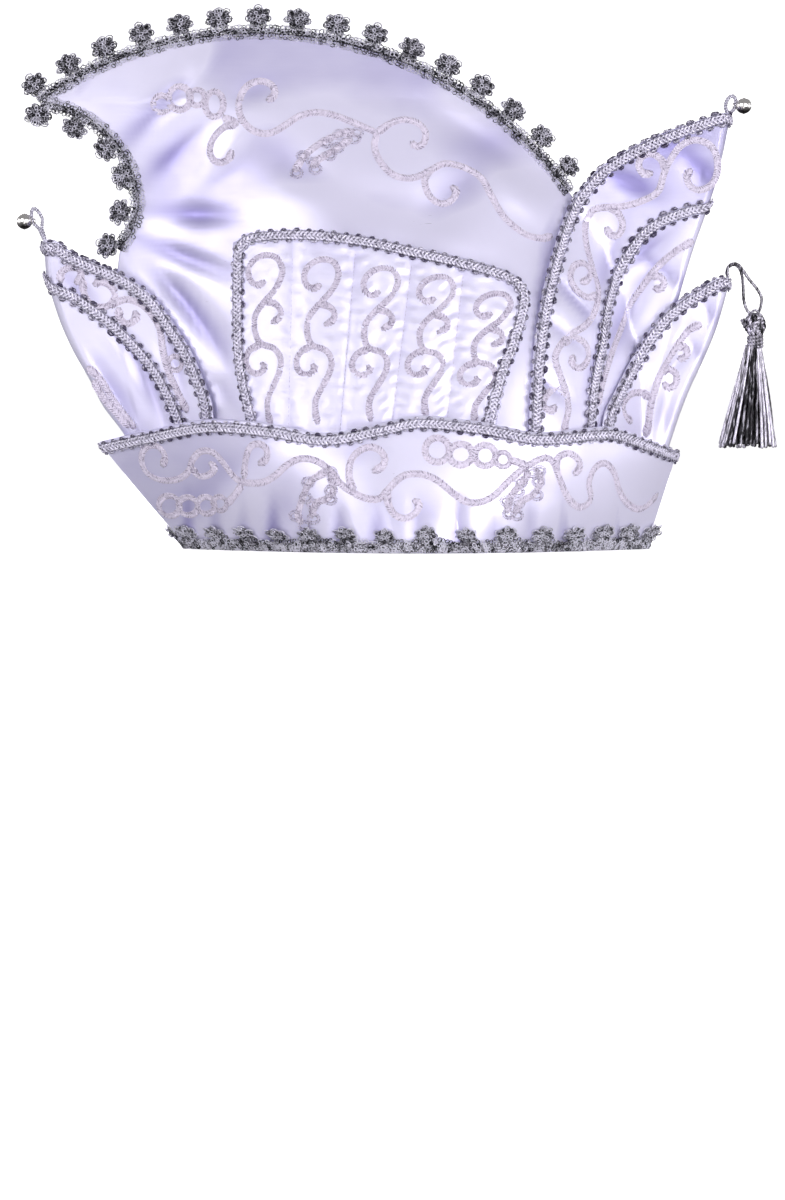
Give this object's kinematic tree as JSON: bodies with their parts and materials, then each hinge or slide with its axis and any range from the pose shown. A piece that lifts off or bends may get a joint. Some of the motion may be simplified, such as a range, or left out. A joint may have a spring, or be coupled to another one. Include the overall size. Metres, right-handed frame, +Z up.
{
  "type": "carnival prince hat",
  "caption": "Tall crested satin carnival hat with a flared cuff, folded wings, quilted side panels, braid and lace trim, bells and a tassel.",
  "frame": {"origin": "on the plane the rim rests on, under the middle of the overall width and length, measured without the tassel", "axes": "+Z up, -Y towards the wearer's front (the beak and the front bell), +X towards the wearer's left"},
  "size_m": [0.172, 0.3806, 0.2714],
  "materials": {
    "satin": "white satin with a cool lilac shade, soft sheen",
    "quilted_satin": "white satin stitched into upright channels over padding",
    "silver_braid": "narrow interlaced silver metallic braid with looped edges",
    "silver_lace": "silver metallic lace with looped flowers along one edge",
    "silver_thread": "thin twisted silver metallic cord",
    "nickel": "bright nickel plate",
    "tassel_cord_yarn": "silver bullion cords with dark gaps"
  },
  "bodies": {
    "root": {"crown_left": "satin", "crown_right": "satin", "cuff": "satin", "front_wing": "satin", "rear_wing_tall": "satin", "rear_wing_low": "satin", "side_panel_left": "quilted_satin", "side_panel_right": "quilted_satin", "front_wing_edge_braid": "silver_braid", "front_wing_inner_braid": "silver_braid", "tall_wing_edge_braid": "silver_braid", "tall_wing_inner_braid": "silver_braid", "low_wing_edge_braid": "silver_braid", "side_panel_braid_left": "silver_braid", "side_panel_braid_right": "silver_braid", "cuff_braid": "silver_braid", "hem_lace": "silver_lace", "crest_lace": "silver_lace", "front_bell_loop": "silver_thread", "rear_bell_loop": "silver_thread", "front_bell": "nickel", "rear_bell": "nickel", "tassel_cord": "silver_thread", "tassel_head": "tassel_cord_yarn", "tassel_neck": "tassel_cord_yarn", "tassel_skirt": "tassel_cord_yarn"}
  },
  "joints": []
}
